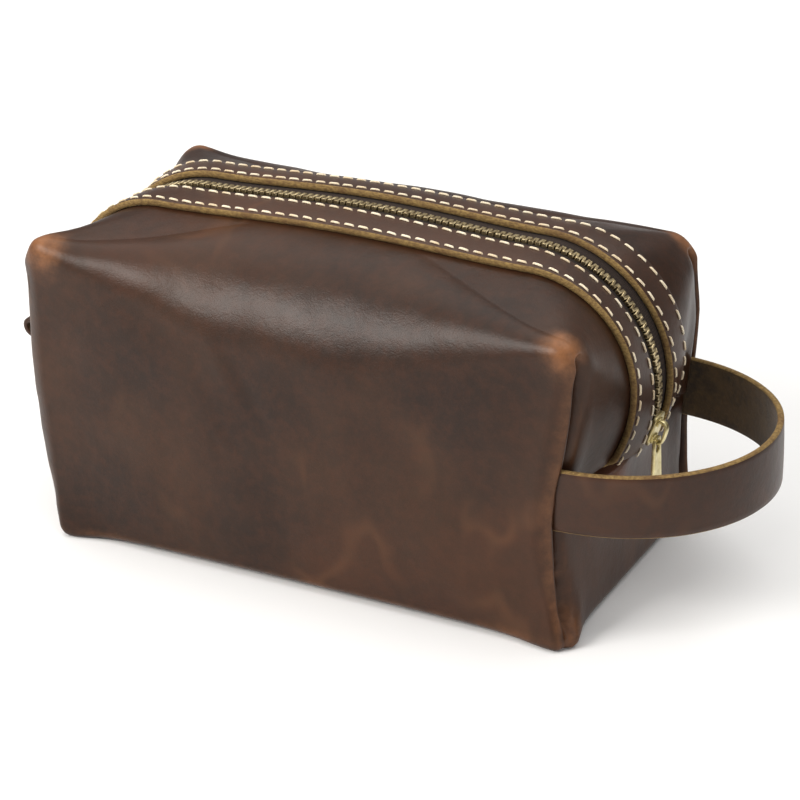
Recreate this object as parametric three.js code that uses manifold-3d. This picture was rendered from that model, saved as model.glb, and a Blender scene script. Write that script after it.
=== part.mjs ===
// A boxed-corner leather wash bag: one wrapped leather body, a metal zip that runs along
// the crown and down both ends, a carrying loop on the right end and a pull tab on the left.
// Millimetres, +Z up. The origin is the centre of the flat base, +X points to the carrying loop
// and -Y is the front.
import * as THREE from 'three';
import { mergeVertices } from 'three/addons/utils/BufferGeometryUtils.js';
import Module from 'manifold-3d';

const wasm = await Module();
wasm.setup();

// driving dimensions of the bag
const leather = 2;            // thickness of the body leather
const baseHalfLength = 115.5;
const halfDepth = 64;
const footRadius = 7;         // slant where the ends turn under
const earHalfLength = 118;    // where the four top corners stand
const earHeight = 130;
const earRadius = 9;
const zipHalfLength = 128;    // body leather at the widest point of the zip line
const zipHeight = 141.5;      // body leather at the shoulders of the zip line
const shoulderRadius = 54;
const crown = 3;              // extra rise at the middle of the top
const seamHeight = 62;        // the horizontal seam where the zip ends
const seamInset = 6.5;        // how far that seam is drawn in from the bulge above it
const mouthHalfWidth = 17;    // the body leather's raw edge under each facing strip

// driving dimensions of the zip
const stripInner = 9;
const stripOuter = 25;
const stripThickness = 2.4;
const stitchInset = 2.3;
const threadWidth = 0.8;
const threadHeight = 0.5;
const tapeInner = 3.4;
const tapeOuter = 16.2;
const tapeThickness = 0.7;
const toothPitch = 2.9;
const toothTip = 0.75;
const toothRoot = 3.1;
const toothHeight = 2.4;
const toothMiddle = -0.5;     // lift of a tooth's middle off the leather's outer face
const gap = 0.3;

// driving dimensions of the slider and its pull
const sliderAngle = -18;      // where it parks, in degrees from the height of the shoulder arc's centre
const sliderLength = 12.5;
const sliderHalfWidth = 4.7;
const plateInner = 1.7;       // lift of a slider plate's inner and outer face
const plateOuter = 2.9;
const flangeMiddle = 3.7;     // distance of a slider flange from the zip line
const pullLength = 28;
const pullWidth = 7.6;
const pullThickness = 1.3;

// driving dimensions of the loop and the tab
const strapWidth = 28;
const strapThickness = 2.5;
const strapReach = 60;
const strapMiddle = 63;       // height of the strap's centre line
const strapHalfSpan = 61.5;
const tabReach = 44;
const tabWidth = 22;
const tabHeight = 60;         // middle of the folded tab's two layers

const colours = {
  leather: 0x5a4034,
  strip: 0x5a3c2a,
  tape: 0x2f221b,
  thread: 0xdcc8a8,
  antique: 0x6b5d46,
  brass: 0xc9b783,
  strap: 0x4c3a30,
};

const group = new THREE.Group();

function add(name, geometry, colour, roughness, metalness = 0) {
  const material = new THREE.MeshStandardMaterial({ color: colour, roughness, metalness });
  const mesh = new THREE.Mesh(geometry, material);
  mesh.name = name;
  group.add(mesh);
}

// a closed solid through rings of points; every ring has the same number of points
function loft(rings) {
  const count = rings[0].length;
  const positions = rings.flat().flatMap((p) => [p.x, p.y, p.z]);
  const index = [];
  for (let r = 0; r + 1 < rings.length; r += 1) {
    for (let k = 0; k < count; k += 1) {
      const a = r * count + k;
      const b = r * count + ((k + 1) % count);
      index.push(a, b, b + count, a, b + count, a + count);
    }
  }
  const last = (rings.length - 1) * count;
  for (const [a, b, c] of capTriangles(rings[0])) index.push(a, c, b);
  for (const [a, b, c] of capTriangles(rings.at(-1))) index.push(last + a, last + b, last + c);
  const geometry = new THREE.BufferGeometry();
  geometry.setAttribute('position', new THREE.Float32BufferAttribute(positions, 3));
  geometry.setIndex(index);
  return facingOut(geometry);
}

// triangles of a nearly flat ring, cut in its own plane
function capTriangles(ring) {
  const normal = new THREE.Vector3();
  ring.forEach((p, k) => normal.add(p.clone().cross(ring[(k + 1) % ring.length])));
  const turn = new THREE.Quaternion().setFromUnitVectors(normal.normalize(), new THREE.Vector3(0, 0, 1));
  const flat = ring.map((p) => p.clone().applyQuaternion(turn)).map((p) => new THREE.Vector2(p.x, p.y));
  return THREE.ShapeUtils.triangulateShape(flat, []);
}

function volume(geometry) {
  const p = geometry.getAttribute('position');
  const corner = [0, 1, 2].map(() => new THREE.Vector3());
  let sum = 0;
  for (let k = 0; k < geometry.index.count; k += 3) {
    corner.forEach((c, n) => c.fromBufferAttribute(p, geometry.index.getX(k + n)));
    sum += corner[0].dot(corner[1].clone().cross(corner[2]));
  }
  return sum / 6;
}

function facingOut(geometry) {
  if (volume(geometry) > 0) return geometry;
  const order = geometry.index.array;
  for (let k = 0; k < order.length; k += 3) [order[k], order[k + 1]] = [order[k + 1], order[k]];
  return geometry;
}

function toSolid(geometry) {
  const plain = geometry.index ? geometry.clone() : geometry;
  plain.deleteAttribute('normal');
  plain.deleteAttribute('uv');
  const merged = mergeVertices(plain, 1e-4);
  return new wasm.Manifold(new wasm.Mesh({
    numProp: 3,
    vertProperties: new Float32Array(merged.getAttribute('position').array),
    triVerts: new Uint32Array(merged.index.array),
  }));
}

function toGeometry(solid) {
  const mesh = solid.getMesh();
  const geometry = new THREE.BufferGeometry();
  geometry.setAttribute('position', new THREE.BufferAttribute(mesh.vertProperties, 3));
  geometry.setIndex(new THREE.BufferAttribute(mesh.triVerts, 1));
  return geometry;
}

// how many steps each lofted shape has
const bodyPathSteps = 44;
const bodyDepthSteps = 12;
const slotSteps = 50;
const bandSteps = 48;
const threadSteps = 44;
const strapSteps = 32;
const tabBendSteps = 10;

// ---- the bag's outer surface -------------------------------------------------------------

// the bag's upright outline at distance y from the middle, as sizes that swell to the zip line
function outlineAt(y) {
  const full = 1 - (y / halfDepth) ** 2;
  const mix = (edge, middle) => edge + (middle - edge) * full;
  return {
    reach: mix(earHalfLength, zipHalfLength),
    height: mix(earHeight, zipHeight),
    radius: mix(earRadius, shoulderRadius),
    rise: crown * full,
    inset: mix(0.5, seamInset),
  };
}

const sideShare = 0.16;       // share of the path from the seam up to the shoulder arc
const arcShare = 0.5;         // share from there round the shoulder

// a point of the zip-side surface: path runs from -1, the left end seam, over 0, the crown, to 1
function crownPoint(path, y) {
  const { reach, height, radius, rise, inset } = outlineAt(y);
  const from = 1 - Math.abs(path);
  const centreX = reach - radius;
  const centreZ = height - radius;
  let x;
  let z;
  if (from < sideShare) {
    const t = from / sideShare;
    z = seamHeight + (centreZ - seamHeight) * t;
    x = reach - inset * (1 - t) ** 2;
  } else if (from < sideShare + arcShare) {
    const angle = ((from - sideShare) / arcShare) * (Math.PI / 2);
    x = centreX + radius * Math.cos(angle);
    z = centreZ + radius * Math.sin(angle);
  } else {
    const t = (from - sideShare - arcShare) / (1 - sideShare - arcShare);
    x = centreX * (1 - t);
    z = height + rise * (1 - (1 - t) ** 2) ** 2;
  }
  return new THREE.Vector3(path < 0 ? -x : x, y, z);
}

// the same point lifted off the surface by a distance along the outward normal
function liftedPoint(path, y, lift) {
  const step = 1e-3;
  const here = Math.min(Math.max(path, -1 + step), 1 - step);
  const along = crownPoint(here - step, y).sub(crownPoint(here + step, y));
  const across = crownPoint(here, y + step).sub(crownPoint(here, y - step));
  const normal = across.cross(along).normalize();
  if (normal.z + Math.abs(normal.x) < 0) normal.negate();
  return crownPoint(path, y).addScaledVector(normal, lift);
}

function spread(from, to, steps) {
  return Array.from({ length: steps + 1 }, (_, k) => from + ((to - from) * k) / steps);
}

// a flat band along the zip line: two edges, and two lifts off the leather
function crownBand(inner, outer, low, high, paths) {
  const edge = (value, path) => (typeof value === 'function' ? value(path) : value);
  return loft(paths.map((path) => [
    liftedPoint(path, edge(inner, path), low),
    liftedPoint(path, outer, low),
    liftedPoint(path, outer, high),
    liftedPoint(path, edge(inner, path), high),
  ]));
}

// ---- the leather body --------------------------------------------------------------------

const slotReach = 8;          // the mouth's cutter reaches this far past both faces of the leather
const basePlaces = [-0.55, 0, 0.55]; // where the flat base has points, as shares of its half length

function bodyRing(y, wall) {
  const upper = spread(1, -1, bodyPathSteps).map((path) => liftedPoint(path, y, -wall));
  const corner = baseHalfLength - wall;
  const lower = basePlaces.map((share) => share * corner);
  const waist = (corner + liftedPoint(1, y, -wall).x) / 2;
  const ring = [
    ...upper.map((p) => p.setY(y)),
    new THREE.Vector3(-waist, y, seamHeight / 2),
    new THREE.Vector3(-corner, y, footRadius),
    new THREE.Vector3(-corner + footRadius, y, wall),
    ...lower.map((x) => new THREE.Vector3(x, y, wall)),
    new THREE.Vector3(corner - footRadius, y, wall),
    new THREE.Vector3(corner, y, footRadius),
    new THREE.Vector3(waist, y, seamHeight / 2),
  ];
  return ring;
}

function bagBlank(wall) {
  const depth = halfDepth - wall;
  return loft(spread(-depth, depth, bodyDepthSteps).map((y) => bodyRing(y, wall)));
}

function bodyLeather() {
  const slot = crownBand(-mouthHalfWidth, mouthHalfWidth, -slotReach, slotReach, spread(1, -1, slotSteps));
  const shell = toSolid(bagBlank(0)).subtract(toSolid(bagBlank(leather)));
  return toGeometry(shell.subtract(toSolid(slot)));
}

add('body_leather', bodyLeather(), colours.leather, 0.5);

// ---- the zip -----------------------------------------------------------------------------

const bandPaths = spread(0.985, -0.985, bandSteps);
const stripLow = 2 * gap;
const stripHigh = stripLow + stripThickness;
const tapeHigh = -0.2;

const teethFrom = 0.953;      // the chain stops inside the parked slider
const teethTo = -0.955;

// the places along the path where a tooth's tip or the gap beside it lies
function toothPaths() {
  const fine = spread(teethFrom, teethTo, 400);
  const line = fine.map((path) => liftedPoint(path, 0, 0));
  const along = [0];
  for (let k = 1; k < line.length; k += 1) along.push(along[k - 1] + line[k].distanceTo(line[k - 1]));
  const steps = Math.floor(along.at(-1) / (toothPitch / 2));
  return Array.from({ length: steps + 1 }, (_, k) => {
    const want = k * (toothPitch / 2);
    const next = along.findIndex((value) => value >= want);
    const share = next > 0 ? (want - along[next - 1]) / (along[next] - along[next - 1]) : 0;
    const before = Math.max(next - 1, 0);
    return fine[before] + (fine[1] - fine[0]) * share;
  });
}

function toothRow(side) {
  const paths = toothPaths();
  const tip = (k) => (k % 2 === (side < 0 ? 0 : 1) ? -side * toothTip : side * (toothTip + 2 * gap));
  return loft(paths.map((path, k) => [
    liftedPoint(path, tip(k), toothMiddle - toothHeight / 2),
    liftedPoint(path, side * toothRoot, toothMiddle - toothHeight / 2),
    liftedPoint(path, side * toothRoot, toothMiddle + toothHeight / 2),
    liftedPoint(path, tip(k), toothMiddle + toothHeight / 2),
  ]));
}

function addZipSide(name, side) {
  const strip = crownBand(side * stripInner, side * stripOuter, stripLow, stripHigh, bandPaths);
  add(`zip_strip_${name}`, strip, colours.strip, 0.55);
  const tape = crownBand(side * tapeInner, side * tapeOuter, tapeHigh - tapeThickness, tapeHigh, bandPaths);
  add(`zip_tape_${name}`, tape, colours.tape, 0.9);
  add(`zip_teeth_${name}`, toothRow(side), colours.antique, 0.4, 0.9);
  const threadPaths = spread(0.97, -0.97, threadSteps);
  const rows = { inner: stripInner + stitchInset, outer: stripOuter - stitchInset };
  for (const [row, place] of Object.entries(rows)) {
    const low = stripHigh + gap;
    const [from, to] = [place - threadWidth / 2, place + threadWidth / 2];
    const thread = crownBand(side * from, side * to, low, low + threadHeight, threadPaths);
    add(`stitch_row_${name}_${row}`, thread, colours.thread, 0.8);
  }
}

addZipSide('front', -1);
addZipSide('back', 1);

const topStopPath = 0.9885;   // just past the parked slider
const stopHalf = 0.004;       // half of a stop's length, along the path
const stopLow = -1.9;
const stopHigh = 0.9;
const topStopMiddle = 1.85;   // distance of a top stop's middle from the zip line
const topStopHalf = 1.3;
const bottomStopPath = -0.972;
const bottomStopHalf = 3.1;

// a stop is a small metal clip over the zip line, past the last teeth
function addStop(name, path, y, halfWidth) {
  const clip = crownBand(y - halfWidth, y + halfWidth, stopLow, stopHigh, [path - stopHalf, path + stopHalf]);
  add(name, clip, colours.antique, 0.4, 0.9);
}

addStop('top_stop_front', topStopPath, -topStopMiddle, topStopHalf);
addStop('top_stop_back', topStopPath, topStopMiddle, topStopHalf);
addStop('bottom_stop', bottomStopPath, 0, bottomStopHalf);

// ---- the slider, its bridge and its pull -------------------------------------------------

const outline = outlineAt(0);
const arcCentre = new THREE.Vector3(outline.reach - outline.radius, 0, outline.height - outline.radius);
const chainRadius = outline.radius - 0.5;

// a point in the slider's own place: along the zip line, across it and off it
function sliderPoint(along, across, off) {
  const angle = THREE.MathUtils.degToRad(sliderAngle) + along / chainRadius;
  const radius = chainRadius + off;
  return new THREE.Vector3(
    arcCentre.x + radius * Math.cos(angle),
    across,
    arcCentre.z + radius * Math.sin(angle),
  );
}

// a closed block in that place; widths are given at each step along the zip line
function sliderBlock(steps, low, high, shift = 0) {
  return loft(steps.map(([along, half]) => [
    sliderPoint(along, shift - half, low),
    sliderPoint(along, shift + half, low),
    sliderPoint(along, shift + half, high),
    sliderPoint(along, shift - half, high),
  ]));
}

function sliderBody() {
  const end = sliderLength / 2;
  const plate = [[-end, 2.6], [-end + 3, sliderHalfWidth], [end - 3.5, 3.9], [end, 3.6]];
  const post = [[-end + 0.6, 0.5], [-end + 2.6, 1.3], [-end + 4, 0.5]];
  const parts = [
    sliderBlock(plate, plateInner, plateOuter),
    sliderBlock(plate, -plateOuter, -plateInner),
    sliderBlock(post, -2, 2),
  ];
  for (const side of [-1, 1]) {
    const flange = [[-end + 3, 0.45], [end - 3.5, 0.45]];
    parts.push(sliderBlock(flange, 0.7, 2, side * flangeMiddle));
  }
  return toGeometry(parts.map(toSolid).reduce((whole, part) => whole.add(part)));
}

add('slider_body', sliderBody(), colours.brass, 0.3, 1);

// a flat-sided bar bent along points that lie in the slider's middle plane
function bentBar(points, halfWidth, halfThickness) {
  return loft(points.map((p, k) => {
    const before = points[Math.max(k - 1, 0)];
    const after = points[Math.min(k + 1, points.length - 1)];
    const along = after.clone().sub(before).normalize();
    const side = new THREE.Vector3(0, 1, 0).cross(along);
    return [[-1, -1], [1, -1], [1, 1], [-1, 1]].map(([across, off]) => p.clone()
      .add(new THREE.Vector3(0, across * halfWidth, 0))
      .addScaledVector(side, off * halfThickness));
  }));
}

const bridgeTop = 7;
const bridgeEnds = [-4.2, 4.6];

function sliderBridge() {
  const [low, high] = bridgeEnds;
  const points = [
    [low, 3.2], [low, 5.4], [low + 0.9, 6.6], [low + 2.4, bridgeTop],
    [high - 2.4, bridgeTop], [high - 0.9, 6.6], [high, 5.4], [high, 3.2],
  ];
  return bentBar(points.map(([along, off]) => sliderPoint(along, 0, off)), 1, 0.55);
}

add('slider_bridge', sliderBridge(), colours.brass, 0.3, 1);

// the pull's top rim lies inside the bridge, and the pull turns about that rim
const pullHinge = sliderPoint(-2.7, 0, 4.4);
const rimHalf = 0.5;
const eyeBelow = 5;           // from the hinge line to the foot of the eye

function plate(width, top, bottom, x, thickness) {
  const middle = (top + bottom) / 2;
  return new THREE.BoxGeometry(thickness, width, top - bottom).translate(x, 0, middle);
}

function pullTab() {
  const top = pullHinge.z + rimHalf;
  const x = pullHinge.x;
  const opening = pullWidth - 4.4;
  const blank = toSolid(plate(pullWidth, top, top - pullLength, x, pullThickness));
  const eye = toSolid(plate(opening, pullHinge.z - rimHalf, pullHinge.z - eyeBelow, x, 2 * pullThickness));
  return toGeometry(blank.subtract(eye));
}

add('pull_tab', pullTab(), colours.brass, 0.3, 1);

// ---- the carrying loop and the end tab ---------------------------------------------------

const strapRootX = 119.6;

function strapRing(angle) {
  const reach = strapReach - strapThickness / 2;
  const x = strapRootX + reach * Math.cos(angle);
  const y = strapHalfSpan * Math.sin(angle);
  const out = new THREE.Vector3(Math.cos(angle) / reach, Math.sin(angle) / strapHalfSpan, 0).normalize();
  return [[-1, -1], [1, -1], [1, 1], [-1, 1]].map(([off, up]) => new THREE.Vector3(x, y, strapMiddle)
    .addScaledVector(out, (off * strapThickness) / 2)
    .add(new THREE.Vector3(0, 0, (up * strapWidth) / 2)));
}

add('handle_strap', loft(spread(-Math.PI / 2, Math.PI / 2, strapSteps).map(strapRing)), colours.strap, 0.5);

// one strip folded over on itself, with both ends at the left end seam
function endTab() {
  const layer = strapThickness / 2 + gap;
  const root = -(zipHalfLength - seamInset) - 2 * gap;
  const nose = root - tabReach;
  const bulge = 3;
  const noseX = nose + bulge + strapThickness / 2;
  const bend = spread(90, 270, tabBendSteps).map(THREE.MathUtils.degToRad).map((angle) => [
    noseX + bulge * Math.cos(angle),
    bulge * Math.sin(angle),
  ]);
  const above = [[root, layer], [root - tabReach / 2, layer], [noseX + 8, layer + 0.6]];
  const below = above.map(([x, z]) => [x, -z]).reverse();
  const points = [...above, ...bend, ...below].map(([x, z]) => new THREE.Vector3(x, 0, tabHeight + z));
  return bentBar(points, tabWidth / 2, strapThickness / 2);
}

add('end_tab', endTab(), colours.strap, 0.5);

// ---- the hidden threads that close the body's seams --------------------------------------

function threadAlong(from, to, radius) {
  const length = from.distanceTo(to);
  const turn = new THREE.Quaternion().setFromUnitVectors(
    new THREE.Vector3(0, 1, 0),
    to.clone().sub(from).normalize(),
  );
  const middle = from.clone().add(to).multiplyScalar(0.5);
  const rod = new THREE.CylinderGeometry(radius, radius, length, 8);
  return rod.applyQuaternion(turn).translate(middle.x, middle.y, middle.z);
}

const seamThread = 0.7;
const cornerIn = 5;           // how far inside the leather these threads lie
const cornerThreadX = baseHalfLength - cornerIn;
const cornerThreadY = halfDepth - cornerIn;

for (const [end, x] of [['left', -1], ['right', 1]]) {
  for (const [side, y] of [['front', -1], ['back', 1]]) {
    const foot = new THREE.Vector3(x * cornerThreadX, y * cornerThreadY, 8);
    const top = new THREE.Vector3(x * cornerThreadX, y * cornerThreadY, earHeight - 14);
    add(`corner_thread_${end}_${side}`, threadAlong(foot, top, seamThread), colours.thread, 0.8);
  }
  const seamX = x * (earHalfLength - cornerIn);
  const near = new THREE.Vector3(seamX, -cornerThreadY + 3, seamHeight - 2);
  const far = new THREE.Vector3(seamX, cornerThreadY - 3, seamHeight - 2);
  add(`end_seam_thread_${end}`, threadAlong(near, far, seamThread), colours.thread, 0.8);
}

export default group;
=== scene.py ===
import bpy, bmesh, math
import numpy as np
from mathutils import Matrix, Vector, noise


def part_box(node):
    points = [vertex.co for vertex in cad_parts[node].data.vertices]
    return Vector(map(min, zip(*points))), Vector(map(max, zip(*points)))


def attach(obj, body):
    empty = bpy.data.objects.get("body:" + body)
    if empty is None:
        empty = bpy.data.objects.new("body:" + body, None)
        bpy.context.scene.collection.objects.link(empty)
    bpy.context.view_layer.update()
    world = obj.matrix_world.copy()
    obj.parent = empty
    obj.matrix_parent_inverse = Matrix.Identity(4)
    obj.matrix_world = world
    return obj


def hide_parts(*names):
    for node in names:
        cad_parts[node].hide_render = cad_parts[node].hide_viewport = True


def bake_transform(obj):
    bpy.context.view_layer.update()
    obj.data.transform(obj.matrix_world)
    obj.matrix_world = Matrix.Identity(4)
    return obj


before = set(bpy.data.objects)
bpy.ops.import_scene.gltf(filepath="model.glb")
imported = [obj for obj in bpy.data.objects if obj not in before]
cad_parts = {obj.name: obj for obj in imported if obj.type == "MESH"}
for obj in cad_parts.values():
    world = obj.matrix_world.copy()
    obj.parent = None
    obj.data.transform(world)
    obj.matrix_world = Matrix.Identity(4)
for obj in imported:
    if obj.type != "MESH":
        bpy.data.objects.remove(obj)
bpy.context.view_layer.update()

mm = 0.001
_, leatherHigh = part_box("body_leather")
pullLow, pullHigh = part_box("pull_tab")
print("frame loaded")


# camera, light and floor
camera = {
    "azimuth": 28.09, "elevation": 25.7, "roll": -1.4,
    "distance": 1.1446, "target": (0.0132, 0, 0.0604), "lens": 124.1,
}


def makeCamera():
    azimuth, elevation = math.radians(camera["azimuth"]), math.radians(camera["elevation"])
    back = Vector((math.sin(azimuth) * math.cos(elevation),
                   -math.cos(azimuth) * math.cos(elevation), math.sin(elevation)))
    data = bpy.data.cameras.new("camera")
    data.lens = camera["lens"]
    data.sensor_width = 36
    data.clip_start, data.clip_end = 0.05, 20
    piece = bpy.data.objects.new("camera", data)
    bpy.context.scene.collection.objects.link(piece)
    piece.rotation_mode = "QUATERNION"
    roll = Matrix.Rotation(math.radians(camera["roll"]), 3, "Z").to_quaternion()
    piece.rotation_quaternion = (-back).to_track_quat("-Z", "Y") @ roll
    piece.location = Vector(camera["target"]) + back * camera["distance"]
    bpy.context.scene.camera = piece


lights = {
    # name: place, size, power, colour
    "overhead": ((-0.1, 0.25, 1.7), (2.6, 2.2), 33, (1, 0.98, 0.95)),
    "frontLeft": ((-0.75, -1.2, 0.95), (0.9, 0.6), 24, (1, 0.97, 0.93)),
    "rightFill": ((1.3, -0.35, 0.55), (0.6, 0.9), 2.6, (0.98, 0.99, 1)),
}


studio = {"aim": (0.03, 0, 0.07), "white": (1, 1, 1, 1), "ambient": 0.32, "paper": (0.93, 0.93, 0.93, 1)}


def makeLights():
    for name, (place, size, power, colour) in lights.items():
        data = bpy.data.lights.new(name, "AREA")
        data.shape = "RECTANGLE"
        data.size, data.size_y = size
        data.energy = power
        data.color = colour
        piece = bpy.data.objects.new(name, data)
        bpy.context.scene.collection.objects.link(piece)
        piece.location = place
        aim = Vector(studio["aim"]) - Vector(place)
        piece.rotation_euler = aim.to_track_quat("-Z", "Y").to_euler()
    world = bpy.data.worlds.new("studio")
    world.use_nodes = True
    background = world.node_tree.nodes["Background"]
    background.inputs["Color"].default_value = studio["white"]
    background.inputs["Strength"].default_value = studio["ambient"]
    bpy.context.scene.world = world
    bpy.context.scene.view_settings.view_transform = "Standard"


def makeFloor():
    bpy.ops.mesh.primitive_plane_add(size=12, location=(0, 0, -0.0004))
    floor = bpy.context.object
    floor.name = "floor"
    material = bpy.data.materials.new("paper")
    material.use_nodes = True
    shader = material.node_tree.nodes["Principled BSDF"]
    shader.inputs["Base Color"].default_value = studio["paper"]
    shader.inputs["Roughness"].default_value = 0.9
    floor.data.materials.append(material)


# shader helpers
class Link:
    def __init__(self, finish, socket):
        self.finish, self.socket = finish, socket

    def math(self, operation, other, swapped=False):
        first, second = (other, self) if swapped else (self, other)
        return self.finish.node("Math", {"operation": operation}, {0: first, 1: second})

    def __add__(self, other):
        return self.math("ADD", other)

    def __sub__(self, other):
        return self.math("SUBTRACT", other)

    def __rsub__(self, other):
        return self.math("SUBTRACT", other, True)

    def __mul__(self, other):
        return self.math("MULTIPLY", other)

    def __abs__(self):
        return self.math("ABSOLUTE", 0)

    __radd__ = __add__
    __rmul__ = __mul__


class Finish:
    def __init__(self, name, **plain):
        self.material = bpy.data.materials.new(name)
        self.material.use_nodes = True
        self.nodes = self.material.node_tree.nodes
        self.shader = self.nodes["Principled BSDF"]
        self.place = self.node("TexCoord", {}, {}, "Object")
        for socket, value in plain.items():
            self.shader.inputs[socket.replace("_", " ")].default_value = value

    def node(self, kind, settings, values, output=0):
        made = self.nodes.new("ShaderNode" + kind)
        for key, value in settings.items():
            setattr(made, key, value)
        for key, value in values.items():
            if isinstance(value, Link):
                self.material.node_tree.links.new(value.socket, made.inputs[key])
            else:
                made.inputs[key].default_value = value
        return Link(self, made.outputs[output])

    def noise(self, scale, detail=4, roughness=0.55, vector=None):
        values = {"Vector": vector or self.place, "Scale": scale, "Detail": detail, "Roughness": roughness}
        return self.node("TexNoise", {}, values, "Fac")

    def cells(self, scale, feature="F1", vector=None):
        values = {"Vector": vector or self.place, "Scale": scale}
        return self.node("TexVoronoi", {"feature": feature}, values, "Distance")

    def bands(self, way, scale, distortion):
        values = {"Vector": self.place, "Scale": scale, "Distortion": distortion}
        return self.node("TexWave", {"bands_direction": way}, values, "Fac")

    def between(self, value, low, high):
        values = {"Value": value, "From Min": low, "From Max": high}
        return self.node("MapRange", {"interpolation_type": "SMOOTHSTEP"}, values, "Result")

    def mix(self, factor, first, second):
        return self.node("Mix", {"data_type": "RGBA"}, {0: factor, 6: first, 7: second}, 2)

    def attribute(self, name):
        return self.node("Attribute", {"attribute_name": name}, {}, "Fac")

    def stretched(self, scale):
        return self.node("Mapping", {}, {"Vector": self.place, "Scale": scale})

    def bump(self, height, distance, strength=1, normal=None):
        values = {"Height": height, "Distance": distance, "Strength": strength}
        if normal:
            values["Normal"] = normal
        return self.node("Bump", {}, values)

    def wire(self, **links):
        for socket, link in links.items():
            self.material.node_tree.links.new(link.socket, self.shader.inputs[socket.replace("_", " ")])
        return self.material


def rgb(red, green, blue):
    # screen values to the shader's own
    return tuple(((v / 255 + 0.055) / 1.055) ** 2.4 for v in (red, green, blue)) + (1,)


hide = {
    "dark": rgb(37, 22, 13), "mid": rgb(56, 35, 21), "red": rgb(82, 45, 25),
    "rust": rgb(118, 60, 28), "rubbedAndSheenTan": rgb(150, 100, 64),
    "raw": rgb(152, 124, 72), "rawDark": rgb(98, 73, 38), "flesh": rgb(78, 58, 30), "fleshDark": rgb(48, 34, 18),
}


def waxedLeather(name, mid=hide["mid"], dark=hide["dark"], warmth=1.0):
    f = Finish(name, Specular_IOR_Level=0.25)
    broad = f.between(f.noise(14, 3, 0.5), 0.32, 0.68)
    colour = f.mix(broad, dark, mid)
    patches = f.between(f.noise(9, 5, 0.6, f.stretched((1.0, 1.0, 1.6))), 0.5, 0.72)
    colour = f.mix(patches * (0.28 * warmth), colour, hide["red"])
    pulled = f.between(abs(f.noise(24, 2, 0.5, f.stretched((1, 1, 0.6))) - 0.5), 0.05, 0.0)
    pulled = pulled * f.between(f.noise(13, 2), 0.5, 0.66)
    colour = f.mix(pulled * 0.1, colour, hide["rubbedAndSheenTan"])
    mottle = f.between(f.noise(190, 6, 0.7), 0.35, 0.7)
    colour = f.mix(mottle * 0.22, colour, hide["red"])
    # rubbed wear at the ears, feet and hem, with a painted highlight on the rolled end lips mixed in: both lighten
    # the colour towards the rubbed tan
    rubAndSheen = f.attribute("rubAndSheen")
    wearAndSheen = f.between(rubAndSheen * (0.3 + f.noise(170, 6, 0.7)) + f.noise(60, 4, 0.6) * 0.35, 0.32, 1.15)
    colour = f.mix(f.attribute("warm") * 0.8, colour, hide["rust"])
    colour = f.mix(wearAndSheen * 0.85, colour, hide["rubbedAndSheenTan"])
    scuff = f.between(f.noise(35, 8, 0.75, f.stretched((1, 1, 0.25))), 0.62, 0.8)
    colour = f.mix(scuff * 0.14, colour, hide["rubbedAndSheenTan"])
    pores = f.cells(1500)
    grain = f.noise(900, 5, 0.7)
    creases = f.between(f.cells(210, "DISTANCE_TO_EDGE", f.stretched((1, 1, 1.3))), 0.0, 0.1)
    normal = f.bump(f.noise(70, 4, 0.55), 0.0007, 0.5)
    normal = f.bump(creases, 0.00008, 0.12, normal)
    normal = f.bump(grain + pores * 0.5, 0.00012, 0.4, normal)
    rough = 0.3 + f.noise(45, 5, 0.6) * 0.14 + wearAndSheen * 0.05
    return f.wire(Base_Color=colour, Roughness=rough, Normal=normal)


def rawEdge(name, light=hide["raw"], dark=hide["rawDark"]):
    f = Finish(name, Roughness=0.85)
    fibres = f.noise(700, 6, 0.7, f.stretched((1, 1, 2)))
    colour = f.mix(f.between(fibres, 0.3, 0.7), dark, light)
    colour = f.mix(f.between(f.noise(90, 3), 0.45, 0.75) * 0.5, colour, hide["red"])
    normal = f.bump(fibres, 0.0004, 0.8)
    return f.wire(Base_Color=colour, Normal=normal)


def fleshSide(name):
    f = Finish(name, Roughness=0.95, Sheen_Weight=0.15)
    nap = f.noise(420, 7, 0.75)
    clouds = f.noise(55, 5, 0.65)
    colour = f.mix(f.between(clouds, 0.35, 0.65), hide["fleshDark"], hide["flesh"])
    colour = f.mix(f.between(nap, 0.4, 0.75) * 0.5, colour, hide["rawDark"])
    return f.wire(Base_Color=colour, Normal=f.bump(nap, 0.0005, 0.7))


def wovenTape(name):
    f = Finish(name, Roughness=0.9)
    weave = f.bands("Y", 900, 0.6) * f.bands("X", 620, 0.6)
    colour = f.mix(weave, rgb(34, 24, 18), rgb(68, 50, 40))
    return f.wire(Base_Color=colour, Normal=f.bump(weave, 0.0002, 0.8))


def agedBrass(name):
    f = Finish(name, Metallic=1.0)
    tarnish = f.between(f.noise(500, 5, 0.65), 0.35, 0.7)
    colour = f.mix(tarnish, rgb(206, 188, 148), rgb(104, 88, 62))
    normal = f.bump(f.noise(900, 3), 0.00005, 0.5)
    return f.wire(Base_Color=colour, Roughness=0.3 + tarnish * 0.25, Normal=normal)


def lightBrass(name):
    f = Finish(name, Metallic=1.0)
    haze = f.noise(260, 5, 0.6)
    lines = f.noise(900, 4, 0.7, f.stretched((1, 1, 0.06)))
    colour = f.mix(f.between(haze, 0.3, 0.75), rgb(232, 220, 172), rgb(200, 184, 130))
    return f.wire(Base_Color=colour, Roughness=0.3 + haze * 0.18, Normal=f.bump(lines, 0.00004, 0.4))


def waxedThread(name):
    f = Finish(name, Roughness=0.6, Sheen_Weight=0.2)
    twist = f.bands("DIAGONAL", 700, 1.0)
    dirt = f.between(f.noise(120, 4), 0.35, 0.7)
    colour = f.mix(dirt, rgb(252, 238, 210), rgb(226, 202, 164))
    return f.wire(Base_Color=colour, Normal=f.bump(twist, 0.00025, 0.7))


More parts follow.
